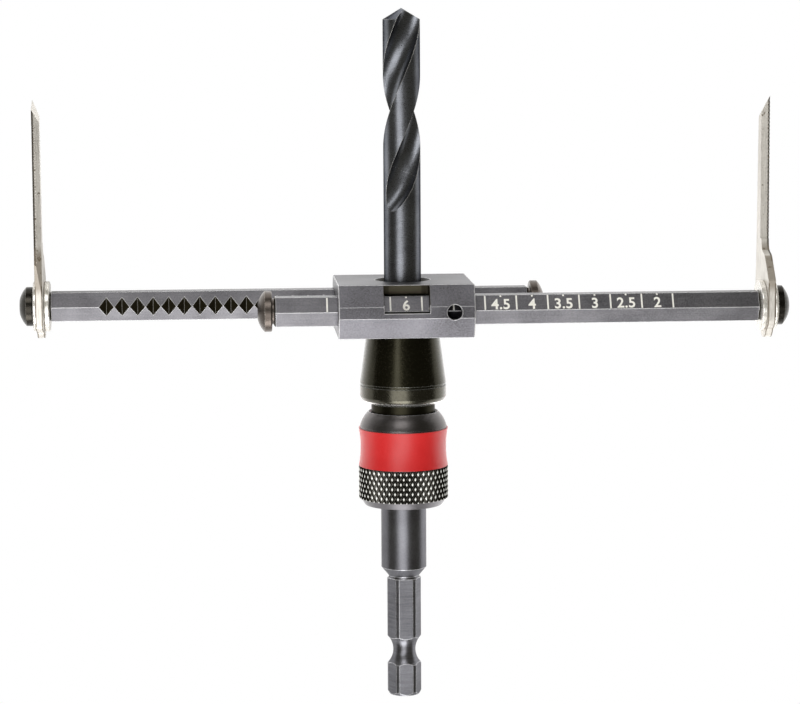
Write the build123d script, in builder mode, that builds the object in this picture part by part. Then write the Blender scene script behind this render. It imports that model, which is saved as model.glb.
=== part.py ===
from build123d import *
import os
from math import cos, pi, radians, sin, sqrt, tan

# Adjustable circle cutter, in millimetres, lying on its back.
# +X runs out along the front arm, +Y runs up the pilot drill to its point, and +Z is up,
# out of the side that carries the scale. The origin is the centre of the shank's end.
# The rear arm is the front one turned half a turn about the drill.

# Hex shank and spindle
hex_flats = 6.35
hex_corner_dia = 6.95
shank_len = 24.5
shank_turn = 3.5
shank_chamfer = 0.4
shank_relief_dia = 6.3
shank_relief_len = 0.5
groove_from_end = 9.35
groove_width = 5.8
groove_floor_dia = 4.6
spindle_dia = 9.3
spindle_lead = 2.3
spindle_bare = 15.5
seat_dia = 8.5
neck_dia = 13.05
neck_bare = 1.65
head_dia = 10.0

# Lock collar
collar_len = 19.25
collar_dia = 17.8
collar_foot_chamfer = 1.4
knurl_len = 6.7
band_len = 7.75
band_proud = 0.25
band_waist_depth = 0.38
band_wall = 0.35
dome_mouth_dia = 14.2
dome_side = 0.35
web_from_foot = 8.5
web_len = 3.2
collar_travel = 2.4

# Cone under the block
cone_len = 14.63
cone_top_dia = 14.8
cone_foot_dia = 17.65
cone_skirt = 2.7
cone_foot_drop = 1.6
cone_line_width = 0.5
cone_line_depth = 0.25
cone_thread_len = 2.9
spigot_dia = 14.2
spigot_len = 1.6

# Slide block
block_len = 27.4
block_half_height = 5.37
block_half_depth = 13.4
block_band_half = 1.18
block_edge = 0.12
window_width = 9.2
window_depth = 6.5
window_floor = -0.15
countersink_dia = 11.3

# Arms
arm_flats = 5.87
arm_offset = 7.45
arm_reach = 71.85
arm_tail = 26.45
arm_edge = 0.3
notch_pitch = 3.175
notch_count = 21
notch_first = 60.325
notch_depth = 1.1
notch_land = 0.1
detent_from_axis = 9.525
detent_hole_dia = 3.1
detent_hole_floor = -2.2
detent_wire = 0.4

# Blade clamp
clamp_screw_dia = 4.0
clamp_screw_len = 15.0
head_width = 8.0
head_height = 2.8
socket_flats = 2.5
socket_depth = 1.3
washer_dia = 10.3
inner_washer_len = 1.1
outer_washer_len = 0.75
stop_head_dia = 8.2
stop_head_len = 2.85
stop_neck_dia = 5.2
stop_neck_len = 0.4
stop_screw_len = 8.0

# Saw blade, measured from the clamp screw
blade_thick = 1.5
blade_back = 8.25
blade_tip = 42.3
blade_tip_slope_thick = 1.93
blade_tip_slope_width = 0.39
blade_edge_land = 0.12
near_edge_foot = 2.4
near_edge_top = 2.75
near_bevel = 1.3
near_teeth_from = 13.3
near_tooth_pitch = 0.79
back_edge_foot = 8.4
back_edge_top = 7.55
back_bevel = 0.9
back_bevel_runout = 6.8
back_teeth_from = 9.3
back_teeth_to = 37.3
back_tooth_pitch = 0.65
tooth_depth = 0.35
blade_flare_near = 1.3
blade_flare_top = 9.8
blade_notch_near = 1.9
blade_notch_top = 11.4
blade_shank_near = 5.15
blade_shank_top = 5.5
blade_shank_foot = 2.9
blade_tab_width = 5.7
blade_tab_foot = 6.5

# Pilot drill
drill_dia = 7.55
drill_reach = 60.3
point_angle = 118.0
flute_lead = 53.0
flute_radius = 2.95
flute_centre = 3.85
flute_waist_below_tip = 20.1
flute_end_below_tip = 39.8
flute_runout = 7.0
drill_tail_dia = 5.9
drill_tail_len = 7.5

# Lock parts inside
sleeve_dia = 12.8
sleeve_len = 11.3
plunger_dia = 4.0
collar_pin_dia = 2.5
sleeve_pin_dia = 2.0
sleeve_pin_from_foot = 2.0
spring_wire = 0.8
spring_mean_dia = 11.2
spring_turns = 2.5
spring_washer_len = 0.6
spring_washer_dia = 12.8
ring_dia = 12.0
ring_len = 0.8
ring_groove_depth = 0.5
ring_from_foot = 1.6

# Clearances
arm_clearance = 0.1
slide_clearance = 0.1
hole_clearance = 0.05
lock_gap = 0.065
stop_gap = 0.1

# Places along the drill, from the end of the shank
y_collar = shank_len + spindle_bare
y_collar_top = y_collar + collar_len
y_cone = y_collar_top + neck_bare
y_block = y_cone + cone_len
y_arm = y_block + block_half_height
y_tip = y_arm + drill_reach
y_web = y_collar + web_from_foot
y_web_top = y_web + web_len
y_collar_pin = y_web + web_len / 2
y_sleeve_top = y_arm - arm_flats / 2 - lock_gap
y_sleeve = y_sleeve_top - sleeve_len
y_sleeve_pin = y_sleeve + sleeve_pin_from_foot
y_ring = y_collar + ring_from_foot
y_washer = y_ring + ring_len
arm_corner = arm_flats / sqrt(3)
head_radius = head_dia / 2
# The arms' lower faces rise towards the drill at 60 degrees, and the head stops short of them.
y_head = y_arm - arm_flats / 2 + (arm_offset - arm_corner / 2 - head_radius) * sqrt(3) - 0.4

# Places along an arm, from the drill axis
x_blade = arm_reach + inner_washer_len
x_outer_washer = x_blade + blade_thick
x_head = x_outer_washer + outer_washer_len


def drill_plane(y):
    # Square to the drill at height y, with its normal towards the point.
    return Plane(origin=(0, y, 0), x_dir=(1, 0, 0), z_dir=(0, 1, 0))


def arm_plane(side, x):
    # Square to an arm at distance x from the drill, with its normal outwards.
    return Plane(origin=(side * x, y_arm, side * arm_offset), x_dir=(0, 0, 1), z_dir=(side, 0, 0))


def arm_section(side):
    # Along an arm: local x is the distance out from the drill, local y the radius.
    return Plane(origin=(0, y_arm, side * arm_offset), x_dir=(side, 0, 0), z_dir=(0, 0, side))


def arm_axis(side):
    return Axis((0, y_arm, side * arm_offset), (side, 0, 0))


def finish(part, name):
    part.label = name
    export_step(part, f"parts/{name}.step")


os.makedirs("parts", exist_ok=True)


# Arbor: turned hex shank, round spindle, neck and the head that the cone and the drill screw to.
corner_radius = hex_corner_dia / 2
spindle_radius = spindle_dia / 2
seat_radius = seat_dia / 2
y_neck = y_web_top + stop_gap
with BuildPart() as arbor:
    with BuildSketch(Plane.XY):
        with BuildLine():
            Polyline((0, 0), (corner_radius - shank_chamfer, 0), (corner_radius, shank_chamfer * 1.6),
                     (corner_radius, groove_from_end - groove_width / 2))
            ThreePointArc((corner_radius, groove_from_end - groove_width / 2),
                          (groove_floor_dia / 2, groove_from_end),
                          (corner_radius, groove_from_end + groove_width / 2))
            Polyline((corner_radius, groove_from_end + groove_width / 2), (corner_radius, shank_len),
                     (shank_relief_dia / 2, shank_len), (shank_relief_dia / 2, shank_len + shank_relief_len),
                     (spindle_radius, shank_len + spindle_lead),
                     (spindle_radius, y_collar), (seat_radius, y_collar),
                     (seat_radius, y_ring), (seat_radius - ring_groove_depth, y_ring),
                     (seat_radius - ring_groove_depth, y_ring + ring_len),
                     (seat_radius, y_ring + ring_len),
                     (seat_radius, y_neck), (neck_dia / 2, y_neck), (neck_dia / 2, y_cone),
                     (head_radius, y_cone), (head_radius, y_head), (0, y_head), (0, 0))
        make_face()
    revolve(axis=Axis.Y)
    with BuildSketch(drill_plane(0)):
        Circle(hex_flats)
        RegularPolygon(hex_flats / 2, 6, major_radius=False, rotation=shank_turn, mode=Mode.SUBTRACT)
    extrude(amount=shank_len, mode=Mode.SUBTRACT)
    plunger_foot = y_collar_pin - collar_pin_dia / 2 - 0.75
    plunger_bore = plunger_foot - collar_travel - 0.3
    with BuildSketch(drill_plane(plunger_bore)):
        Circle(plunger_dia / 2 + hole_clearance)
    extrude(amount=y_head - plunger_bore, mode=Mode.SUBTRACT)
    with BuildSketch(drill_plane(y_head)):
        Circle(drill_tail_dia / 2 + hole_clearance)
    extrude(amount=-drill_tail_len, mode=Mode.SUBTRACT)
    for y_pin, pin_dia in ((y_collar_pin, collar_pin_dia), (y_sleeve_pin, sleeve_pin_dia)):
        slot_width = pin_dia + 2 * slide_clearance
        with BuildSketch(Plane.YZ):
            with Locations((y_pin - collar_travel / 2, 0)):
                SlotOverall(slot_width + collar_travel, slot_width)
        extrude(amount=neck_dia, both=True, mode=Mode.SUBTRACT)
finish(arbor.part, "arbor")


# Lock collar: domed top, seat for the band, grip ring and an inner web that carries the cross pin.
collar_radius = collar_dia / 2
band_radius = collar_radius + band_proud
band_waist_radius = band_radius - band_waist_depth
band_seat_radius = band_waist_radius - band_wall
y_grip_top = y_collar + collar_foot_chamfer + knurl_len
y_band_top = y_grip_top + band_len
chamber_radius = neck_dia / 2 + slide_clearance
with BuildPart() as lock_collar:
    with BuildSketch(Plane.XY):
        with BuildLine():
            Polyline((chamber_radius, y_collar), (collar_radius - collar_foot_chamfer * 0.7, y_collar),
                     (collar_radius, y_collar + collar_foot_chamfer), (collar_radius, y_grip_top),
                     (band_seat_radius, y_grip_top), (band_seat_radius, y_band_top),
                     (collar_radius, y_band_top), (collar_radius, y_band_top + dome_side))
            ThreePointArc((collar_radius, y_band_top + dome_side),
                          (collar_radius - 0.74, y_collar_top - 1.3),
                          (dome_mouth_dia / 2, y_collar_top))
            Polyline((dome_mouth_dia / 2, y_collar_top), (chamber_radius, y_collar_top - 0.4),
                     (chamber_radius, y_web_top),
                     (seat_radius + slide_clearance, y_web_top),
                     (seat_radius + slide_clearance, y_web), (chamber_radius, y_web),
                     (chamber_radius, y_collar))
        make_face()
    revolve(axis=Axis.Y)
    with BuildSketch(Plane.YZ):
        with Locations((y_collar_pin, 0)):
            Circle(collar_pin_dia / 2 + hole_clearance)
    extrude(amount=collar_radius, both=True, mode=Mode.SUBTRACT)
finish(lock_collar.part, "lock_collar")


# Coloured band, waisted, sprung into its seat over the cross pin.
with BuildPart() as collar_band:
    with BuildSketch(Plane.XY):
        with BuildLine():
            Polyline((band_radius, y_grip_top), (band_seat_radius, y_grip_top),
                     (band_seat_radius, y_band_top), (band_radius, y_band_top))
            ThreePointArc((band_radius, y_band_top), (band_waist_radius, y_grip_top + band_len / 2),
                          (band_radius, y_grip_top))
        make_face()
    revolve(axis=Axis.Y)
finish(collar_band.part, "collar_band")


# Cross pins, across the tool: one ties the plunger to the collar, one ties it to the sleeve.
def cross_pin(name, y_pin, pin_dia, pin_len):
    with BuildPart() as pin:
        with BuildSketch(Plane.YZ):
            with Locations((y_pin, 0)):
                Circle(pin_dia / 2)
        extrude(amount=pin_len / 2, both=True)
        chamfer(pin.edges().filter_by(GeomType.CIRCLE), 0.2)
    finish(pin.part, name)


cross_pin("collar_pin", y_collar_pin, collar_pin_dia, 2 * band_seat_radius - 0.3)
cross_pin("sleeve_pin", y_sleeve_pin, sleeve_pin_dia, sleeve_dia - 0.3)


# Plunger in the arbor's bore.
y_plunger_top = y_sleeve_pin + sleeve_pin_dia / 2 + 0.6
with BuildPart() as lock_plunger:
    with BuildSketch(drill_plane(plunger_foot)):
        Circle(plunger_dia / 2)
    extrude(amount=y_plunger_top - plunger_foot)
    for y_pin, pin_dia in ((y_collar_pin, collar_pin_dia), (y_sleeve_pin, sleeve_pin_dia)):
        with BuildSketch(Plane.YZ):
            with Locations((y_pin, 0)):
                Circle(pin_dia / 2)
        extrude(amount=plunger_dia, both=True, mode=Mode.SUBTRACT)
finish(lock_plunger.part, "lock_plunger")


# Sleeve that is pushed up against the flats of both arms.
with BuildPart() as lock_sleeve:
    with BuildSketch(drill_plane(y_sleeve)):
        Circle(sleeve_dia / 2)
        Circle(head_radius + slide_clearance, mode=Mode.SUBTRACT)
    extrude(amount=sleeve_len)
    with BuildSketch(Plane.YZ):
        with Locations((y_sleeve_pin, 0)):
            Circle(sleeve_pin_dia / 2)
    extrude(amount=sleeve_dia, both=True, mode=Mode.SUBTRACT)
finish(lock_sleeve.part, "lock_sleeve")


# Retaining ring in its groove on the spindle, with the washer that the spring stands on.
with BuildPart() as retaining_ring:
    with BuildSketch(drill_plane(y_ring)):
        Circle(ring_dia / 2)
        Circle(seat_radius - ring_groove_depth, mode=Mode.SUBTRACT)
        with Locations((0, -ring_dia / 2)):
            Rectangle(2.2, ring_dia, mode=Mode.SUBTRACT)
    extrude(amount=ring_len)
finish(retaining_ring.part, "retaining_ring")

with BuildPart() as spring_washer:
    with BuildSketch(drill_plane(y_washer)):
        Circle(spring_washer_dia / 2)
        Circle(seat_radius + hole_clearance, mode=Mode.SUBTRACT)
    extrude(amount=spring_washer_len)
finish(spring_washer.part, "spring_washer")


# Coil springs: one helix of round wire each.
def coil_spring(name, seat, travel_axis, length, mean_dia, wire, turns):
    with BuildPart() as spring:
        with BuildLine():
            coil = Helix((length - wire) / turns, length - wire, mean_dia / 2,
                         center=seat + travel_axis * (wire / 2), direction=travel_axis)
        with BuildSketch(Plane(origin=coil @ 0, z_dir=coil % 0)):
            Circle(wire / 2)
        sweep(path=coil)
    finish(spring.part, name)


y_spring = y_washer + spring_washer_len
coil_spring("return_spring", Vector(0, y_spring, 0), Vector(0, 1, 0), y_web - y_spring - 0.05,
            spring_mean_dia, spring_wire, spring_turns)


# Cone: tapered body that screws on the arbor's head and carries the block on its spigot.
cone_foot_radius = cone_foot_dia / 2
y_skirt = y_cone + cone_foot_drop
y_line = y_skirt + cone_skirt - cone_line_width
sleeve_bore = sleeve_dia / 2 + slide_clearance
with BuildPart() as cone_body:
    with BuildSketch(Plane.XY):
        with BuildLine():
            Line((head_radius + hole_clearance, y_cone), (neck_dia / 2, y_cone))
            ThreePointArc((neck_dia / 2, y_cone),
                          (cone_foot_radius - 0.75, y_cone + 0.55), (cone_foot_radius, y_skirt))
            Polyline((cone_foot_radius, y_skirt), (cone_foot_radius, y_line),
                     (cone_foot_radius - cone_line_depth, y_line),
                     (cone_foot_radius - cone_line_depth, y_line + cone_line_width),
                     (cone_foot_radius, y_line + cone_line_width), (cone_top_dia / 2, y_block),
                     (spigot_dia / 2, y_block), (spigot_dia / 2, y_block + spigot_len),
                     (sleeve_bore, y_block + spigot_len), (sleeve_bore, y_cone + cone_thread_len),
                     (head_radius + hole_clearance, y_cone + cone_thread_len),
                     (head_radius + hole_clearance, y_cone))
        make_face()
    revolve(axis=Axis.Y)
finish(cone_body.part, "cone_body")


# Slide block: six-sided bar with two hex channels, a window over each scale and a countersunk bore.
channel_flats = arm_flats + 2 * arm_clearance
slope_run = (block_half_height - block_band_half) / sqrt(3)
top_half_depth = block_half_depth - slope_run
with BuildPart() as slide_block:
    with BuildSketch(Plane.YZ):
        with Locations((y_arm, 0)):
            Polygon((-block_half_height, -top_half_depth), (-block_band_half, -block_half_depth),
                    (block_band_half, -block_half_depth), (block_half_height, -top_half_depth),
                    (block_half_height, top_half_depth), (block_band_half, block_half_depth),
                    (-block_band_half, block_half_depth), (-block_half_height, top_half_depth),
                    align=None)
    extrude(amount=block_len / 2, both=True)
    chamfer(slide_block.faces().filter_by(Axis.X).edges(), block_edge)
    for side in (1, -1):
        with BuildSketch(arm_plane(side, 0)):
            RegularPolygon(channel_flats / 2, 6, major_radius=False)
        extrude(amount=block_len, both=True, mode=Mode.SUBTRACT)
        with BuildSketch(drill_plane(y_arm + window_floor)):
            with Locations((0, -side * (window_depth / 2 + block_half_depth - window_depth))):
                Rectangle(window_width, window_depth)
        extrude(amount=block_half_height, mode=Mode.SUBTRACT)
        detent_plane = Plane(origin=(side * detent_from_axis, y_arm, side * detent_hole_floor),
                             x_dir=(1, 0, 0), z_dir=(0, 0, side))
        with BuildSketch(detent_plane):
            Circle(detent_hole_dia / 2)
        extrude(amount=block_half_depth - detent_hole_floor, mode=Mode.SUBTRACT)
    drill_bore = drill_dia / 2 + hole_clearance
    countersink_depth = countersink_dia / 2 - drill_bore
    with BuildSketch(Plane.XY):
        with BuildLine():
            Polyline((0, y_block), (spigot_dia / 2, y_block), (spigot_dia / 2, y_block + spigot_len),
                     (sleeve_bore, y_block + spigot_len), (sleeve_bore, y_sleeve_top + slide_clearance),
                     (head_radius, y_sleeve_top + slide_clearance),
                     (head_radius, y_head), (drill_bore, y_head),
                     (drill_bore, y_arm + block_half_height - countersink_depth),
                     (countersink_dia / 2, y_arm + block_half_height),
                     (0, y_arm + block_half_height), (0, y_block))
        make_face()
    revolve(axis=Axis.Y, mode=Mode.SUBTRACT)
finish(slide_block.part, "slide_block")


# Pilot drill: right-hand flutes milled by a round cutter that lifts out along the run-out.
drill_radius = drill_dia / 2
point_len = drill_radius / tan(radians(point_angle / 2))
y_waist = y_tip - flute_waist_below_tip
flute_foot = y_tip - flute_end_below_tip
flute_steps = 24


def flute_point(index, start_angle):
    # Centre of the milling cutter at one step from above the point down to the run-out.
    y_start = y_tip + flute_radius
    y = y_start + (flute_foot - y_start) * index / flute_steps
    lift = max(0.0, (flute_foot + flute_runout - y) / flute_runout)
    radius = flute_centre + (drill_radius + flute_radius - flute_centre) * lift ** 2
    angle = start_angle - 2 * pi * (y - y_waist) / flute_lead
    return (radius * cos(angle), y, radius * sin(angle))


with BuildPart() as pilot_drill:
    with BuildSketch(Plane.XY):
        with BuildLine():
            Polyline((0, y_head - drill_tail_len + 0.4), (drill_tail_dia / 2, y_head - drill_tail_len + 0.4),
                     (drill_tail_dia / 2, y_head), (drill_radius, y_head),
                     (drill_radius, y_tip - point_len), (0, y_tip), (0, y_head - drill_tail_len + 0.4))
        make_face()
    revolve(axis=Axis.Y)
    for start_angle in (0, pi):
        with BuildLine():
            flute = Spline(*[flute_point(index, start_angle) for index in range(flute_steps + 1)])
        with BuildSketch(Plane(origin=flute @ 0, z_dir=flute % 0)):
            Circle(flute_radius)
        sweep(path=flute, mode=Mode.SUBTRACT)
finish(pilot_drill.part, "pilot_drill")


# Arm: hex bar with a row of detent notches along the edge that faces the drill.
def make_arm(name, side):
    with BuildPart() as arm:
        with BuildSketch(arm_plane(side, -arm_tail)):
            RegularPolygon(arm_flats / 2, 6, major_radius=False)
        extrude(amount=arm_tail + arm_reach)
        chamfer(arm.faces().filter_by(Axis.X).edges(), arm_edge)
        ridge = arm_offset - arm_corner
        half_width = (notch_pitch - notch_land) / 2
        margin = 0.1
        mouth = half_width * (notch_depth + margin) / notch_depth
        with BuildSketch(drill_plane(y_arm - arm_flats / 2)):
            for index in range(notch_count):
                x = side * (notch_first - index * notch_pitch)
                with Locations((x, -side * ridge)):
                    Polygon((-mouth, side * margin), (mouth, side * margin), (0, -side * notch_depth), align=None)
        extrude(amount=arm_flats, mode=Mode.SUBTRACT)
        with BuildSketch(arm_plane(side, arm_reach)):
            Circle(clamp_screw_dia / 2 + hole_clearance)
        extrude(amount=-(clamp_screw_len - (x_head - arm_reach) + 1), mode=Mode.SUBTRACT)
        with BuildSketch(arm_plane(side, -arm_tail)):
            Circle(clamp_screw_dia / 2 + hole_clearance)
        extrude(amount=stop_screw_len + 1, mode=Mode.SUBTRACT)
    finish(arm.part, name)


# Washer round the clamp screw.
def make_washer(name, side, x_start, thick):
    with BuildPart() as washer:
        with BuildSketch(arm_plane(side, x_start)):
            Circle(washer_dia / 2)
            Circle(clamp_screw_dia / 2 + hole_clearance, mode=Mode.SUBTRACT)
        extrude(amount=thick)
        rims = washer.edges().filter_by(GeomType.CIRCLE).filter_by(lambda edge: edge.radius > washer_dia / 4)
        fillet(rims, min(0.25, thick / 3))
    finish(washer.part, name)


# Half outline of a button head from its rounded rim to its flat crown; out is the way that it points along x.
def head_outline(x_seat, out, height, radius):
    ThreePointArc((x_seat, radius - 0.3), (x_seat + out * 0.09, radius - 0.09), (x_seat + out * 0.3, radius))
    Line((x_seat + out * 0.3, radius), (x_seat + out * (height - 1.35), radius))
    ThreePointArc((x_seat + out * (height - 1.35), radius), (x_seat + out * (height - 0.5), radius * 0.71),
                  (x_seat + out * height, radius * 0.4))
    Line((x_seat + out * height, radius * 0.4), (x_seat + out * height, 0))


# Socket button screw, seated at x_seat, with its head outwards and its stem back towards the drill.
def make_clamp_screw(name, side, x_seat):
    x_stem = x_seat - clamp_screw_len
    with BuildPart() as screw:
        with BuildSketch(arm_section(side)):
            with BuildLine():
                Polyline((x_seat + head_height, 0), (x_stem, 0), (x_stem, clamp_screw_dia / 2 - 0.3),
                         (x_stem + 0.3, clamp_screw_dia / 2), (x_seat, clamp_screw_dia / 2),
                         (x_seat, head_width / 2 - 0.3))
                head_outline(x_seat, 1, head_height, head_width / 2)
            make_face()
        revolve(axis=arm_axis(side))
        with BuildSketch(arm_plane(side, x_seat + head_height)):
            RegularPolygon(socket_flats / 2, 6, major_radius=False)
        extrude(amount=-socket_depth, mode=Mode.SUBTRACT)
    finish(screw.part, name)


# Stop screw in the tail of an arm: its button head meets the block at the widest setting.
def make_stop_screw(name, side):
    x_end = -arm_tail
    x_seat = x_end - stop_neck_len
    with BuildPart() as screw:
        with BuildSketch(arm_section(side)):
            with BuildLine():
                Polyline((x_seat - stop_head_len, 0), (x_end + stop_screw_len, 0),
                         (x_end + stop_screw_len, clamp_screw_dia / 2), (x_end, clamp_screw_dia / 2),
                         (x_end, stop_neck_dia / 2), (x_seat, stop_neck_dia / 2),
                         (x_seat, stop_head_dia / 2 - 0.3))
                head_outline(x_seat, -1, stop_head_len, stop_head_dia / 2)
            make_face()
        revolve(axis=arm_axis(side))
    finish(screw.part, name)


# Saw teeth along a straight edge: the tip of each tooth, then the gullet behind it.
def tooth_line(start, end, pitch, inward):
    along = (Vector(*end) - Vector(*start)).normalized()
    count = int((Vector(*end) - Vector(*start)).length / pitch)
    points = []
    for index in range(count):
        tip = Vector(*start) + along * (index * pitch)
        gullet = tip + along * (pitch * 0.35) + Vector(inward, 0) * tooth_depth
        points += [(tip.X, tip.Y), (gullet.X, gullet.Y)]
    return points + [end]


# Saw blade: strip toothed along both edges, a flared shank and a round tab under the clamp.
# Local x is measured across the strip from the clamp screw, local y is the height above it.
def make_blade(name, side):
    def level_plane(height):
        # Level, with local x out from the blade's inner face and local y across the strip.
        return Plane(origin=(side * x_blade, y_arm + height, side * arm_offset), x_dir=(side, 0, 0), z_dir=(0, 1, 0))

    face_plane = Plane(origin=(side * x_blade, y_arm, side * arm_offset), x_dir=(0, 0, -side), z_dir=(side, 0, 0))
    over_tip = blade_tip + 1
    near_teeth = tooth_line((near_edge_foot, near_teeth_from), (near_edge_top, blade_tip), near_tooth_pitch, 1)
    back_teeth = tooth_line((back_edge_top, back_teeth_to), (back_edge_foot, back_teeth_from), back_tooth_pitch, -1)
    half_tab = blade_tab_width / 2
    corner = blade_tab_foot - half_tab - 0.4
    with BuildPart() as blade:
        with BuildSketch(face_plane):
            with BuildLine():
                Polyline(*near_teeth, (near_edge_top, over_tip), (back_edge_top, over_tip), *back_teeth,
                         (blade_back, back_teeth_from - 0.3), (blade_back, -blade_shank_foot))
                Spline((blade_back, -blade_shank_foot), (blade_back * 0.8, -corner - 1.0), (half_tab, -corner - 1.9),
                       tangents=((0, -1), (-1, -0.25)))
                Line((half_tab, -corner - 1.9), (half_tab, -blade_tab_foot + half_tab * 0.7))
                ThreePointArc((half_tab, -blade_tab_foot + half_tab * 0.7), (0, -blade_tab_foot),
                              (-half_tab, -blade_tab_foot + half_tab * 0.7))
                Line((-half_tab, -blade_tab_foot + half_tab * 0.7), (-half_tab, -corner - 1.2))
                ThreePointArc((-half_tab, -corner - 1.2), (-blade_shank_near + 0.6, -corner - 0.2),
                              (-blade_shank_near, -corner + 1.6))
                Polyline((-blade_shank_near, -corner + 1.6), (-blade_shank_near, blade_shank_top),
                         (-blade_flare_near, blade_flare_top))
                Spline((-blade_flare_near, blade_flare_top), (blade_notch_near, blade_notch_top),
                       (near_edge_foot, near_teeth_from), tangents=((0.7, 0.8), (0.1, 1)))
            make_face()
        extrude(amount=blade_thick)
        with BuildSketch(face_plane):
            Circle(clamp_screw_dia / 2 + hole_clearance)
        extrude(amount=blade_thick, mode=Mode.SUBTRACT)
        # Bevels on the side that faces the drill leave the teeth on the outer face's edges.
        bevel_from = blade_thick - blade_edge_land
        for foot, top, low, high, bevel in (
                (near_edge_foot, near_edge_top, near_teeth_from, blade_tip, near_bevel),
                (back_edge_foot, back_edge_top, back_teeth_from, back_teeth_to, -back_bevel)):
            slope = bevel / bevel_from
            outside = 2 * bevel
            with BuildSketch(level_plane(low)):
                Polygon((bevel_from, foot), (-bevel_from, foot + 2 * bevel), (-bevel_from, foot - outside),
                        (blade_thick + 1, foot - outside), (blade_thick + 1, foot - slope), align=None)
            lean = Vector(0, high - low, -side * (top - foot))
            extrude(amount=(over_tip - low) / (high - low) * lean.length, dir=lean, mode=Mode.SUBTRACT)
        with BuildSketch(level_plane(back_teeth_from), mode=Mode.PRIVATE) as runout:
            Polygon((bevel_from, back_edge_foot), (0, back_edge_foot - back_bevel), (0, back_edge_foot), align=None)
        runout_end = level_plane(back_teeth_from - back_bevel_runout).from_local_coords((0, blade_back, 0))
        loft(sections=[runout.sketch, Vertex(*runout_end)], mode=Mode.SUBTRACT)
        outer_tip = level_plane(blade_tip).from_local_coords((blade_thick, near_edge_top, 0))
        split(bisect_by=Plane(origin=outer_tip, z_dir=(-side * blade_tip_slope_thick, 1, -side * blade_tip_slope_width)),
              keep=Keep.BOTTOM)
    finish(blade.part, name)


# Detent: a ball in the block's web that drops into the notches, with its spring behind it.
def make_detent(name, side):
    ball_radius = detent_hole_dia / 2 - hole_clearance
    ball_z = arm_offset - arm_corner - hole_clearance - ball_radius
    with BuildPart() as ball:
        with Locations((side * detent_from_axis, y_arm, side * ball_z)):
            Sphere(ball_radius)
    finish(ball.part, f"{name}_detent_ball")
    seat = Vector(side * detent_from_axis, y_arm, side * detent_hole_floor)
    length = ball_z - ball_radius - detent_hole_floor
    coil_spring(f"{name}_detent_spring", seat, Vector(0, 0, side), length,
                detent_hole_dia - 2 * hole_clearance - detent_wire - 0.1, detent_wire, 3)


for arm_name, side in (("front", 1), ("rear", -1)):
    make_arm(f"{arm_name}_arm", side)
    make_stop_screw(f"{arm_name}_stop_screw", side)
    make_washer(f"{arm_name}_inner_washer", side, arm_reach, inner_washer_len)
    make_blade(f"{arm_name}_blade", side)
    make_washer(f"{arm_name}_outer_washer", side, x_outer_washer, outer_washer_len)
    make_clamp_screw(f"{arm_name}_blade_screw", side, x_head)
    make_detent(arm_name, side)
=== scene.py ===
import bpy
import math
from mathutils import Matrix, Vector


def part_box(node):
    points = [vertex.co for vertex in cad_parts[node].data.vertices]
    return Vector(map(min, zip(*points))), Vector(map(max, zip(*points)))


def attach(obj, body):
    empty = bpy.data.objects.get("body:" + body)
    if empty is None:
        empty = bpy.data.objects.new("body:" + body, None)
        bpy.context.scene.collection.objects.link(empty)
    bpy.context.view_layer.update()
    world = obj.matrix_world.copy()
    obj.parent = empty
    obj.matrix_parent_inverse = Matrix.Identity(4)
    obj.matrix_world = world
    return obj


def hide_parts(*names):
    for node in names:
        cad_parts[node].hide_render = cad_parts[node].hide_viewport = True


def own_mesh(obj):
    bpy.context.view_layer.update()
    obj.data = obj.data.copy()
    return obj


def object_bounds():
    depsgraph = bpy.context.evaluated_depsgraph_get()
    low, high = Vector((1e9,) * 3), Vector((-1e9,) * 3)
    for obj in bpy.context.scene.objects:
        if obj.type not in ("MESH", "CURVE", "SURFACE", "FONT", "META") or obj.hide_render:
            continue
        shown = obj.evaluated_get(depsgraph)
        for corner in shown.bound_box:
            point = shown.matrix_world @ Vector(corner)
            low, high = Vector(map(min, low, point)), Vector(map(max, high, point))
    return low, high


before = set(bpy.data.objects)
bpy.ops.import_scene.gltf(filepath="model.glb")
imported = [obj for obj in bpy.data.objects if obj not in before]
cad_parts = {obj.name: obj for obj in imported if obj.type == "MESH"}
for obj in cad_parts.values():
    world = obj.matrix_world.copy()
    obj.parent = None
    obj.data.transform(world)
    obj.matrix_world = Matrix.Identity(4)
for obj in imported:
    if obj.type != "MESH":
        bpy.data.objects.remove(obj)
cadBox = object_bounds()
print("frame loaded")

mm = 0.001

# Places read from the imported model.
armLow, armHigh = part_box("front_arm")
collarLow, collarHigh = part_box("lock_collar")
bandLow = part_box("collar_band")[0]
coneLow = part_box("cone_body")[0]
bladeLow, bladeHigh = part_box("front_blade")
armY = (armLow.y + armHigh.y) / 2
armZ = (armLow.z + armHigh.z) / 2
armHalfFlats = (armHigh.y - armLow.y) / 2
armLine = armY / mm


def toLinear(hexText):
    # sRGB hex to the linear colour that a shader socket takes.
    channels = []
    for start in (0, 2, 4):
        value = int(hexText[start:start + 2], 16) / 255
        channels.append(value / 12.92 if value <= 0.04045 else ((value + 0.055) / 1.055) ** 2.4)
    return (*channels, 1.0)


def addNode(tree, kind, values=None, **settings):
    # Adds a node; values are socket values or links by socket name or number.
    made = tree.nodes.new(kind)
    for key, value in settings.items():
        setattr(made, key, value)
    for key, value in (values or {}).items():
        if isinstance(value, bpy.types.NodeSocket):
            tree.links.new(value, made.inputs[key])
        else:
            made.inputs[key].default_value = value
    return made


def newMaterial(name):
    material = bpy.data.materials.new(name)
    material.use_nodes = True
    tree = material.node_tree
    shader = tree.nodes["Principled BSDF"]
    coords = addNode(tree, "ShaderNodeTexCoord")
    return material, tree, shader, coords.outputs["Object"]


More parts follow.
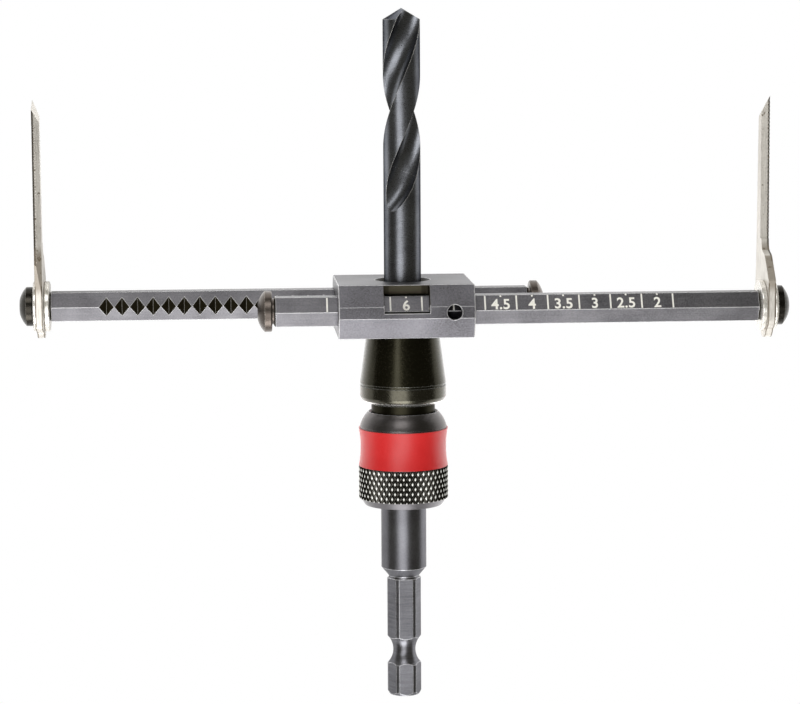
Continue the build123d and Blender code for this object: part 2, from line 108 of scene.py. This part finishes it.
def noise(tree, vector, sizeMm, stretch=(1, 1, 1), detail=4.0, roughness=0.55):
    # Noise whose features are about sizeMm across, longer along an axis whose stretch is above 1.
    scale = [1 / (sizeMm * mm * part) for part in stretch]
    mapped = addNode(tree, "ShaderNodeMapping", {"Vector": vector, "Scale": scale})
    made = addNode(tree, "ShaderNodeTexNoise", {"Vector": mapped.outputs[0], "Scale": 1.0, "Detail": detail,
                                                "Roughness": roughness})
    return made.outputs["Fac"]


def mapRange(tree, value, low, high, toLow, toHigh):
    made = addNode(tree, "ShaderNodeMapRange", {"Value": value, "From Min": low, "From Max": high,
                                                "To Min": toLow, "To Max": toHigh}, clamp=True)
    return made.outputs["Result"]


def blend(tree, factor, first, second):
    # Mixes two linear colours or colour links.
    made = addNode(tree, "ShaderNodeMix", {0: factor, 6: first, 7: second}, data_type="RGBA")
    return made.outputs[2]


def finished(name, dark, light, roughness, metallic=0.95, grainMm=0.16, grainBump=0.006, grainTone=0.5, patchMm=7.0,
             patchTone=0.6, streak=(1, 1, 1), streakMm=0.2, streakBump=0.0, streakTone=0.0, streakEnd=None,
             edgeMm=0.12, edgeWearHighlightTone=None, edgeTurn=0.994, edgeSpan=0.03, edgeMetal=0.4, coat=0.0, coatRoughness=0.15,
             rim=1.0):
    # A surface between two tones: soft patches, fine grain, tool streaks, and edges rounded and painted pale, partly
    # as rubbed wear and partly as a painted highlight.
    toneSpan = 0.3  # half the width of the change from the dark tone to the light one
    edgeWearHighlightShare = 0.95  # how much of an edge's own colour the pale edge tone covers, as rubbed wear and painted highlight
    material, tree, shader, place = newMaterial(name)
    patches = noise(tree, place, patchMm, detail=2.0)
    grain = noise(tree, place, grainMm, detail=2.0)
    lines = noise(tree, place, streakMm, stretch=streak, detail=3.0)
    if streakEnd is not None:
        up = addNode(tree, "ShaderNodeSeparateXYZ", {0: place}).outputs[1]
        below = addNode(tree, "ShaderNodeMath", {0: up, 1: streakEnd * mm}, operation="LESS_THAN")
        lines = addNode(tree, "ShaderNodeMix", {0: below.outputs[0], 2: 0.5, 3: lines}, data_type="FLOAT").outputs[0]
    weights = addNode(tree, "ShaderNodeMath", {0: patches, 1: patchTone}, operation="MULTIPLY")
    weights = addNode(tree, "ShaderNodeMath", {0: grain, 1: grainTone, 2: weights.outputs[0]},
                      operation="MULTIPLY_ADD")
    weights = addNode(tree, "ShaderNodeMath", {0: lines, 1: streakTone, 2: weights.outputs[0]},
                      operation="MULTIPLY_ADD")
    middle = (patchTone + grainTone + streakTone) / 2
    fac = mapRange(tree, weights.outputs[0], middle - toneSpan, middle + toneSpan, 0.0, 1.0)
    colour = blend(tree, fac, toLinear(dark), toLinear(light))
    rounded = addNode(tree, "ShaderNodeBevel", {"Radius": edgeMm * mm}, samples=6)
    normal = rounded.outputs[0]
    if edgeWearHighlightTone:
        geometry = addNode(tree, "ShaderNodeNewGeometry")
        turned = addNode(tree, "ShaderNodeVectorMath", {0: normal, 1: geometry.outputs["Normal"]},
                         operation="DOT_PRODUCT")
        edgeWearHighlight = mapRange(tree, turned.outputs["Value"], edgeTurn, edgeTurn - edgeSpan, 0.0, edgeWearHighlightShare)
        colour = blend(tree, edgeWearHighlight, colour, toLinear(edgeWearHighlightTone))
        tree.links.new(mapRange(tree, edgeWearHighlight, 0.0, edgeWearHighlightShare, metallic, edgeMetal), shader.inputs["Metallic"])
    tree.links.new(colour, shader.inputs["Base Color"])
    shader.inputs["Metallic"].default_value = metallic
    rough = mapRange(tree, grain, 0.3, 0.7, roughness - 0.05, roughness + 0.06)
    tree.links.new(rough, shader.inputs["Roughness"])
    shader.inputs["Specular Tint"].default_value = (rim, rim, rim, 1.0)
    shader.inputs["Coat Weight"].default_value = coat
    shader.inputs["Coat Roughness"].default_value = coatRoughness
    for height, distance in ((grain, grainBump), (lines, streakBump)):
        if distance:
            bump = addNode(tree, "ShaderNodeBump", {"Height": height, "Distance": distance * mm, "Strength": 1.0,
                                                    "Normal": normal})
            normal = bump.outputs[0]
    tree.links.new(normal, shader.inputs["Normal"])
    return material


def tint(material, tone, strength=1.0, speckMm=None, soft=0.02, **spans):
    # Inside the spans, in millimetres along x, y or z, out from the drill's axis or along an arm from it, or by how
    # far a face turns to the arm's end or to the front, the surface takes another tone, all over or in specks.
    speckStart, speckFull = 0.63, 0.68  # the noise between which a speck fades in
    facingSoft = 0.02
    tree = material.node_tree
    shader = tree.nodes["Principled BSDF"]
    coords = addNode(tree, "ShaderNodeTexCoord")
    axes = addNode(tree, "ShaderNodeSeparateXYZ", {0: coords.outputs["Object"]})
    level = addNode(tree, "ShaderNodeCombineXYZ", {0: axes.outputs[0], 2: axes.outputs[2]})
    out = addNode(tree, "ShaderNodeVectorMath", {0: level.outputs[0]}, operation="LENGTH")
    reach = addNode(tree, "ShaderNodeMath", {0: axes.outputs[0]}, operation="ABSOLUTE")
    facing = addNode(tree, "ShaderNodeVectorMath", {0: coords.outputs["Normal"]}, operation="ABSOLUTE")
    facing = addNode(tree, "ShaderNodeSeparateXYZ", {0: facing.outputs[0]})
    values = {"x": axes.outputs[0], "y": axes.outputs[1], "z": axes.outputs[2], "out": out.outputs["Value"],
              "reach": reach.outputs[0], "facingEnd": facing.outputs[0], "facingFront": facing.outputs[2]}
    factor = strength
    if speckMm:
        specks = noise(tree, coords.outputs["Object"], speckMm, detail=3.0)
        factor = mapRange(tree, specks, speckStart, speckFull, 0.0, strength)
    for key, (low, high) in spans.items():
        unit, blur = (1.0, facingSoft) if key.startswith("facing") else (mm, soft)
        away = addNode(tree, "ShaderNodeMath", {0: values[key], 1: (low + high) / 2 * unit}, operation="SUBTRACT")
        away = addNode(tree, "ShaderNodeMath", {0: away.outputs[0]}, operation="ABSOLUTE")
        edge = (high - low) / 2
        inside = mapRange(tree, away.outputs[0], (edge - min(blur, edge)) * unit, edge * unit, 1.0, 0.0)
        factor = addNode(tree, "ShaderNodeMath", {0: inside, 1: factor}, operation="MULTIPLY").outputs[0]
    under = shader.inputs["Base Color"].links[0].from_socket
    tree.links.new(blend(tree, factor, under, toLinear(tone)), shader.inputs["Base Color"])


# Black oxide over ground high-speed steel: nearly black, with a soft grey sheen, and flute edges painted bright as
# rubbed wear and painted highlight.
drillOxide = finished("Black oxide high-speed steel, ground", "505256", "7e8086", 0.3, streak=(1, 0.1, 1),
                      streakMm=1.0, streakBump=0.006, streakTone=0.6, edgeMm=0.1, edgeWearHighlightTone="e0deda",
                      edgeTurn=0.945, edgeSpan=0.03, rim=0.1)
# Grey phosphate over milled steel: satin and evenly grainy, painted pale along its edges as rubbed wear and painted
# highlight.
blockPhosphate = finished("Grey phosphate steel, milled and tumbled", "373638", "6f6e73", 0.42, grainMm=0.28,
                          grainTone=0.9, grainBump=0.014, patchMm=12.0, edgeMm=0.2, edgeWearHighlightTone="f4f4f6")
# The same on drawn bar, with faint lines along it.
armPhosphate = finished("Grey phosphate steel, drawn hexagon bar", "3f3e41", "6a696c", 0.4, grainMm=0.3,
                        grainTone=0.8, grainBump=0.01, streak=(40, 1, 1), streakMm=0.25, streakBump=0.004,
                        streakTone=0.3, edgeMm=0.2, edgeWearHighlightTone="f4f4f6")
# Dark brown-black oxide over turned steel.
stopOxide = finished("Brown-black oxide steel, turned", "4a443f", "635b56", 0.34, streak=(0.3, 6, 6), streakMm=0.4,
                     streakBump=0.003, edgeWearHighlightTone="a8a29c")
screwOxide = finished("Black oxide steel, cold-formed", "24221e", "35322d", 0.27, edgeWearHighlightTone="8c8a86")
# Thin grey oxide on the turned arbor; on the hexagon the marks of the cutter run across.
arborOxide = finished("Thin grey oxide steel, turned and milled", "545458", "78787d", 0.33, grainMm=0.3,
                      grainBump=0.012, streak=(8, 0.35, 8), streakMm=0.6, streakBump=0.03, streakTone=0.9,
                      streakEnd=24.0, edgeMm=0.16, edgeWearHighlightTone="f0f0f4", rim=0.55)
collarOxide = finished("Grey-black oxide steel, fine turned", "474443", "5d5a5a", 0.36, grainMm=0.3,
                       streak=(8, 0.3, 8), streakMm=0.4, streakBump=0.006, streakTone=0.4, edgeWearHighlightTone="dcdce0")
# Gloss black lacquer over turned steel.
coneLacquer = finished("Gloss black lacquer on turned steel", "26241a", "323024", 0.24, grainMm=0.5, grainBump=0.002,
                       edgeWearHighlightTone="7c7c78", coat=0.1)
# Red satin enamel.
bandEnamel = finished("Red satin enamel on turned steel", "c01a1c", "cd2426", 0.42, metallic=0.0, grainMm=0.3,
                      grainBump=0.004, patchMm=4.0, coat=0.15, coatRoughness=0.35)
# Bright nickel plate on stamped washers.
washerNickel = finished("Bright nickel plate, stamped", "dcd8d0", "fefcf8", 0.24, metallic=0.6, streak=(1, 6, 1),
                        streakMm=0.25, streakBump=0.004, streakTone=0.8, edgeWearHighlightTone="ffffff")
# Ground spring steel of the blades, streaks along the blade.
bladeSteel = finished("Bright spring steel, ground", "beb9b2", "e8e4dd", 0.42, metallic=0.42, grainMm=0.3,
                      streak=(1, 12, 1), streakMm=0.18, streakBump=0.006, streakTone=1.0)
innerSteel = finished("Hardened steel, ground", "8d8d8f", "b4b4b6", 0.3)
# The neck above the collar keeps its black oxide.
collarTop, collarFoot, coneFoot = collarHigh.y / mm, collarLow.y / mm, coneLow.y / mm
tint(arborOxide, "26241b", y=(collarTop - 3, collarTop + 60))
# The cone's skirt is painted lighter as a painted highlight.
tint(coneLacquer, "45433a", y=(coneFoot - 1, coneFoot + 3.7))
# The cone's foot is painted near white as a painted reflection.
tint(coneLacquer, "f6f6f2", y=(coneFoot - 1, coneFoot + 0.8))
# The collar's foot chamfer is painted lighter as a painted highlight.
tint(collarOxide, "69676a", y=(collarFoot - 1, collarFoot + 1.4))
# The block's countersink round the drill is painted dark as painted shade.
tint(blockPhosphate, "1c1a15", out=(0, 5.62), y=(armLine + 2, armLine + 9))
# The block's window is painted dark as painted shade, darker still towards its ends.
blockWindow = {"y": (armLine - 0.25, armLine + 5.3), "z": (6.7, 13.2)}
tint(blockPhosphate, "423e33", x=(-4.7, 4.7), **blockWindow)
tint(blockPhosphate, "26231b", strength=0.7, reach=(3.3, 4.7), **blockWindow)
# The blades are darker along their teeth, on faces that don't look along the arm.
bladeInner, bladeOuter = bladeLow.x / mm, bladeHigh.x / mm
sideways = (-0.1, 0.7)
frontward = (0.5, 1.1)
tint(bladeSteel, "4a4338", soft=0.2, facingEnd=sideways, reach=(bladeOuter - 0.45, bladeOuter + 0.3),
     y=(armLine + 9, armLine + 50))
# The blades' fronts about the flare are painted darker as painted shade.
tint(bladeSteel, "8d8171", strength=0.7, soft=1.5, facingFront=frontward, y=(armLine + 3, armLine + 13))
# Dark specks of dirt lie on the blades' fronts.
tint(bladeSteel, "6a5c48", strength=0.8, speckMm=0.9, facingFront=frontward, y=(armLine + 6, armLine + 50))
# The blades and washers are painted dark at the joints of their clamps as painted shade between the parts, on faces
# that don't look along the arm.
for low, high in ((bladeInner - 0.1, bladeInner + 0.26), (bladeOuter - 0.26, bladeOuter + 0.1)):
    tint(bladeSteel, "54452f", strength=0.8, soft=0.08, facingEnd=sideways, reach=(low, high),
         y=(armLine - 9, armLine + 5))
for joint in (armHigh.x / mm, bladeInner, bladeOuter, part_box("front_outer_washer")[1].x / mm):
    tint(washerNickel, "54452f", strength=0.85, soft=0.06, facingEnd=sideways, reach=(joint - 0.17, joint + 0.17))
# The washers' end faces are painted darker as painted shade.
tint(washerNickel, "b4b0a8", strength=0.4, facingEnd=(0.9, 1.1))
# The notches of the arms are painted dark olive as painted shade.
tint(armPhosphate, "38321a", strength=0.85, facingEnd=(0.3, 0.93))
# Filled white paint of the scale.
scalePaint = finished("White fill paint, matt", "f2f0e8", "fefcf6", 0.6, metallic=0.0, grainMm=0.1, grainBump=0.002)

nodeMaterials = {
    "pilot_drill": drillOxide, "slide_block": blockPhosphate, "front_arm": armPhosphate, "rear_arm": armPhosphate,
    "front_stop_screw": stopOxide, "rear_stop_screw": stopOxide, "front_blade_screw": screwOxide,
    "rear_blade_screw": screwOxide, "arbor": arborOxide, "lock_collar": collarOxide, "cone_body": coneLacquer,
    "collar_band": bandEnamel, "front_inner_washer": washerNickel, "rear_inner_washer": washerNickel,
    "front_outer_washer": washerNickel, "rear_outer_washer": washerNickel, "front_blade": bladeSteel,
    "rear_blade": bladeSteel,
}
for name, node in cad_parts.items():
    material = nodeMaterials.get(name, innerSteel)
    for slot in node.material_slots:
        slot.material = material
print("materials done")


def meshPiece(name, verts, faces, material, body):
    mesh = bpy.data.meshes.new(name)
    mesh.from_pydata(verts, [], faces)
    mesh.materials.append(material)
    piece = bpy.data.objects.new(name, mesh)
    bpy.context.scene.collection.objects.link(piece)
    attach(piece, body)
    return piece


# Scale on an arm: numbers, dots and ticks, filled white, on the face between the outer edge and the top. Sizes are
# in millimetres, and capShare is the height of a digit in the font as a share of its size.
scaleMarks = {
    "labels": ["7", "6.5", "6", "5.5", "5", "4.5", "4", "3.5", "3", "2.5", "2"],
    "tickPitch": 6.35, "tickFirst": -15.875, "tickHalf": 1.55, "tickWidth": 0.32,
    "digitHeight": 2.2, "digitFoot": -1.38, "capShare": 0.73, "swell": 0.03, "spacing": 1.05,
    "dotHeight": 1.42, "dotRadius": 0.2, "dotCorners": 16, "lift": 0.012,
}
faceMiddle = Vector((0, armY + armHalfFlats * 0.5, armZ + armHalfFlats * math.sqrt(3) / 2))
faceUp = Vector((0, math.sqrt(3) / 2, -0.5))
faceOut = Vector((0, 0.5, math.sqrt(3) / 2))


def scaleShapes(marks):
    # Flat outlines in millimetres: x along the arm, y up its face.
    verts, faces = [], []
    half, tall, radius, corners = marks["tickWidth"] / 2, marks["tickHalf"], marks["dotRadius"], marks["dotCorners"]
    for index in range(len(marks["labels"]) + 1):
        x = marks["tickFirst"] + index * marks["tickPitch"]
        start = len(verts)
        verts += [(x - half, -tall), (x + half, -tall), (x + half, tall), (x - half, tall)]
        faces.append(tuple(range(start, start + 4)))
    for index, text in enumerate(marks["labels"]):
        x = marks["tickFirst"] + (index + 0.5) * marks["tickPitch"]
        start = len(verts)
        for corner in range(corners):
            angle = corner * 2 * math.pi / corners
            verts.append((x + radius * math.cos(angle), marks["dotHeight"] + radius * math.sin(angle)))
        faces.append(tuple(range(start, start + corners)))
        curve = bpy.data.curves.new("scaleText", "FONT")
        curve.body = text
        curve.size = marks["digitHeight"] / marks["capShare"]
        curve.offset = marks["swell"] * marks["digitHeight"]
        curve.align_x = "CENTER"
        curve.space_character = marks["spacing"]
        holder = bpy.data.objects.new("scaleText", curve)
        mesh = bpy.data.meshes.new_from_object(holder)
        tallest = max(vert.co.y for vert in mesh.vertices)
        start = len(verts)
        verts += [(x + vert.co.x, marks["digitFoot"] + vert.co.y * marks["digitHeight"] / tallest)
                  for vert in mesh.vertices]
        faces += [tuple(start + corner for corner in poly.vertices) for poly in mesh.polygons]
        bpy.data.objects.remove(holder)
        bpy.data.meshes.remove(mesh)
    return verts, faces


scaleVerts, scaleFaces = scaleShapes(scaleMarks)
for armName, side in (("front", 1), ("rear", -1)):
    placed = []
    for x, y in scaleVerts:
        point = faceMiddle + Vector((x * mm, 0, 0)) + faceUp * (y * mm) + faceOut * (scaleMarks["lift"] * mm)
        placed.append((side * point.x, point.y, side * point.z))
    meshPiece(f"{armName}_scale_marks", placed, scaleFaces, scalePaint, f"{armName}_arm_slide_body")
print("scale done")


# Diamond knurl round the collar's grip. Sizes are in millimetres, the helix in degrees; the spans are heights above
# the grip, and a pair of roughness or metallic values is for the flanks and the tips, painted pale as wear and
# highlight.
knurl = {
    "teeth": 48, "helix": 30, "depth": 0.32, "flatShare": 0.78, "lift": 0.01, "tuck": 0.1, "footGap": 1.3,
    "bandGap": 0.05, "columnsPerTooth": 16, "rows": 60, "grooveTone": "7c7a74", "flankTone": "262420",
    "tipWearHighlightTone": "fafaf6", "grooveSpan": (0.02, 0.06), "tipWearHighlightSpan": (0.22, 0.3), "roughness": (0.3, 0.35),
    "metallic": (0.95, 0.4),
}
gripRadius = (collarHigh.x - collarLow.x) / 2 / mm


def knurlRing(knurl):
    # Two crossing sets of ridges; a diamond with a flat top stands where both are high. The end rows are tucked in.
    low, high = collarLow.y / mm + knurl["footGap"], bandLow.y / mm - knurl["bandGap"]
    slope = math.tan(math.radians(knurl["helix"]))
    across = 2 * math.pi * gripRadius / knurl["teeth"]
    columns, rows = knurl["teeth"] * knurl["columnsPerTooth"], knurl["rows"]
    verts, faces = [], []
    for row in range(rows + 1):
        y = low + (high - low) * row / rows
        for column in range(columns):
            angle = 2 * math.pi * column / columns
            along = angle * gripRadius
            first = (along + y * slope) / across % 1.0
            second = (along - y * slope) / across % 1.0
            height = min(1 - abs(2 * first - 1), 1 - abs(2 * second - 1))
            radius = gripRadius + knurl["lift"] + knurl["depth"] * min(height / knurl["flatShare"], 1.0)
            if row in (0, rows):
                radius = gripRadius - knurl["tuck"]
            verts.append((radius * mm * math.sin(angle), y * mm, radius * mm * math.cos(angle)))
    for row in range(rows):
        for column in range(columns):
            after = (column + 1) % columns
            faces.append((row * columns + column, row * columns + after, (row + 1) * columns + after,
                          (row + 1) * columns + column))
    return verts, faces


knurlSteel, knurlTree, knurlShader, knurlPlace = newMaterial("Black oxide steel, diamond knurl worn at the tips")
axes = addNode(knurlTree, "ShaderNodeSeparateXYZ", {0: knurlPlace})
level = addNode(knurlTree, "ShaderNodeCombineXYZ", {0: axes.outputs[0], 2: axes.outputs[2]})
out = addNode(knurlTree, "ShaderNodeVectorMath", {0: level.outputs[0]}, operation="LENGTH").outputs["Value"]
rising, tipWearHighlight = [mapRange(knurlTree, out, (gripRadius + low) * mm, (gripRadius + high) * mm, 0.0, 1.0)
                for low, high in (knurl["grooveSpan"], knurl["tipWearHighlightSpan"])]
flank = blend(knurlTree, rising, toLinear(knurl["grooveTone"]), toLinear(knurl["flankTone"]))
# The tips are painted near white, partly as wear and partly as a painted highlight.
tips = blend(knurlTree, tipWearHighlight, flank, toLinear(knurl["tipWearHighlightTone"]))
knurlTree.links.new(tips, knurlShader.inputs["Base Color"])
for key, socket in (("roughness", "Roughness"), ("metallic", "Metallic")):
    knurlTree.links.new(mapRange(knurlTree, tipWearHighlight, 0.0, 1.0, *knurl[key]), knurlShader.inputs[socket])
knurlVerts, knurlFaces = knurlRing(knurl)
meshPiece("collar_knurl", knurlVerts, knurlFaces, knurlSteel, "lock_body")
print("knurl done")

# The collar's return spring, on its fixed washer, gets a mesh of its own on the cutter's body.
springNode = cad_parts["return_spring"]
springCoil = bpy.data.objects.new("return_spring_coil", springNode.data.copy())
bpy.context.scene.collection.objects.link(springCoil)
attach(springCoil, "cutter_body")
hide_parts("return_spring")
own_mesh(springCoil)
print("spring done")


# Camera at the photograph's place, in millimetres, and angle, in degrees.
photoCamera = {"place": (-39.9, 142.4, 550.0), "yaw": 4.089, "pitch": 7.34, "roll": -0.303, "lens": 122.316,
               "sensor": 36.0, "clip": (0.01, 20.0)}
camera = bpy.data.objects.new("photoCamera", bpy.data.cameras.new("photoCamera"))
bpy.context.scene.collection.objects.link(camera)
camera.data.sensor_width = photoCamera["sensor"]
camera.data.lens = photoCamera["lens"]
camera.data.clip_start, camera.data.clip_end = photoCamera["clip"]
turn = (Matrix.Rotation(math.radians(-photoCamera["yaw"]), 4, "Y")
        @ Matrix.Rotation(math.radians(-photoCamera["pitch"]), 4, "X")
        @ Matrix.Rotation(math.radians(photoCamera["roll"]), 4, "Z"))
camera.matrix_world = Matrix.Translation([part * mm for part in photoCamera["place"]]) @ turn
bpy.context.scene.camera = camera

# Floor: plain white to the camera and a lit white to everything else, as the photograph's paper is.
# Its glow rises from the lower left over glowSpan millimetres, is left at sides beyond the sides, and at shade in
# the soft shade on the right, which lies about shadeMiddle along the tool.
paperSheet = {
    "tone": "f4f4f4", "roughness": 0.9, "halfMetres": 3.0, "glow": (0.28, 1.05), "glowSpan": 40.0, "sides": 0.45,
    "sidesSpan": (35.0, 75.0), "shade": 0.4, "shadeMiddle": 135.0, "shadeHalf": 37.0, "shadeSpan": (2.0, 10.0),
}
floorMesh = bpy.data.meshes.new("paperFloor")
half = paperSheet["halfMetres"]
floorMesh.from_pydata([(-half, -half, 0), (half, -half, 0), (half, half, 0), (-half, half, 0)], [], [(0, 1, 2, 3)])
floor = bpy.data.objects.new("paperFloor", floorMesh)
floor.location = (0, 0, cadBox[0].z)
bpy.context.scene.collection.objects.link(floor)
paper, paperTree, paperShader, paperPlace = newMaterial("White paper, matt")
paperShader.inputs["Base Color"].default_value = toLinear(paperSheet["tone"])
paperShader.inputs["Roughness"].default_value = paperSheet["roughness"]
paperShader.inputs["Emission Color"].default_value = (1, 1, 1, 1)
paperAxes = addNode(paperTree, "ShaderNodeSeparateXYZ", {0: paperPlace})
slant = addNode(paperTree, "ShaderNodeMath", {0: paperAxes.outputs[1], 1: paperAxes.outputs[0]}, operation="ADD")
aside = addNode(paperTree, "ShaderNodeMath", {0: paperAxes.outputs[0]}, operation="ABSOLUTE")
lit = mapRange(paperTree, slant.outputs[0], 0.0, paperSheet["glowSpan"] * mm, *paperSheet["glow"])
beside = addNode(paperTree, "ShaderNodeMath", {0: paperAxes.outputs[1], 1: paperSheet["shadeMiddle"] * mm},
                 operation="SUBTRACT")
beside = addNode(paperTree, "ShaderNodeMath", {0: beside.outputs[0]}, operation="ABSOLUTE")
beside = addNode(paperTree, "ShaderNodeMath", {0: paperSheet["shadeHalf"] * mm, 1: beside.outputs[0]},
                 operation="SUBTRACT")
beside = addNode(paperTree, "ShaderNodeMath", {0: paperAxes.outputs[0], 1: beside.outputs[0]}, operation="MINIMUM")
for value, span, left in ((aside, "sidesSpan", "sides"), (beside, "shadeSpan", "shade")):
    low, high = paperSheet[span]
    shade = mapRange(paperTree, value.outputs[0], low * mm, high * mm, 1.0, paperSheet[left])
    lit = addNode(paperTree, "ShaderNodeMath", {0: lit, 1: shade}, operation="MULTIPLY").outputs[0]
paperTree.links.new(lit, paperShader.inputs["Emission Strength"])
glow = addNode(paperTree, "ShaderNodeEmission", {"Color": (1, 1, 1, 1), "Strength": 1.0})
rays = addNode(paperTree, "ShaderNodeLightPath")
paperMix = addNode(paperTree, "ShaderNodeMixShader", {0: rays.outputs["Is Camera Ray"], 1: paperShader.outputs[0],
                                                      2: glow.outputs[0]})
paperTree.links.new(paperMix.outputs[0], paperTree.nodes["Material Output"].inputs["Surface"])
floorMesh.materials.append(paper)

# World: white to the camera, a dim warm room to everything else.
dimRoom = {"tone": "5f5c50", "strength": 1.0}
world = bpy.data.worlds.new("dimRoom")
bpy.context.scene.world = world
world.use_nodes = True
worldTree = world.node_tree
room = worldTree.nodes["Background"]
room.inputs["Color"].default_value = toLinear(dimRoom["tone"])
room.inputs["Strength"].default_value = dimRoom["strength"]
white = addNode(worldTree, "ShaderNodeBackground", {"Color": (1, 1, 1, 1), "Strength": 1.0})
worldRays = addNode(worldTree, "ShaderNodeLightPath")
worldMix = addNode(worldTree, "ShaderNodeMixShader", {0: worldRays.outputs["Is Camera Ray"], 1: room.outputs[0],
                                                      2: white.outputs[0]})
worldTree.links.new(worldMix.outputs[0], worldTree.nodes["World Output"].inputs["Surface"])

# Softboxes, each with its place and size in metres and the brightness of its face, turned to the arms' block.
softboxes = {
    "frontSoftbox": {"place": (-0.13, -0.08, 0.64), "size": (0.62, 0.36), "brightness": 3.4},
    "footSoftbox": {"place": (-0.075, -0.62, 0.36), "size": (0.47, 0.5), "brightness": 6.9},
    "pointSoftbox": {"place": (-0.1, 0.62, 0.52), "size": (0.42, 0.35), "brightness": 4.4},
}
target = Vector((0, 80 * mm, 0))
for name, box in softboxes.items():
    size = box["size"]
    lamp = bpy.data.lights.new(name, "AREA")
    lamp.shape = "RECTANGLE"
    lamp.size, lamp.size_y = size
    lamp.energy = box["brightness"] * math.pi * size[0] * size[1]
    holder = bpy.data.objects.new(name, lamp)
    holder.location = box["place"]
    holder.rotation_euler = (target - Vector(box["place"])).to_track_quat("-Z", "Y").to_euler()
    bpy.context.scene.collection.objects.link(holder)

bpy.context.scene.view_settings.view_transform = "Standard"
print("stage done")
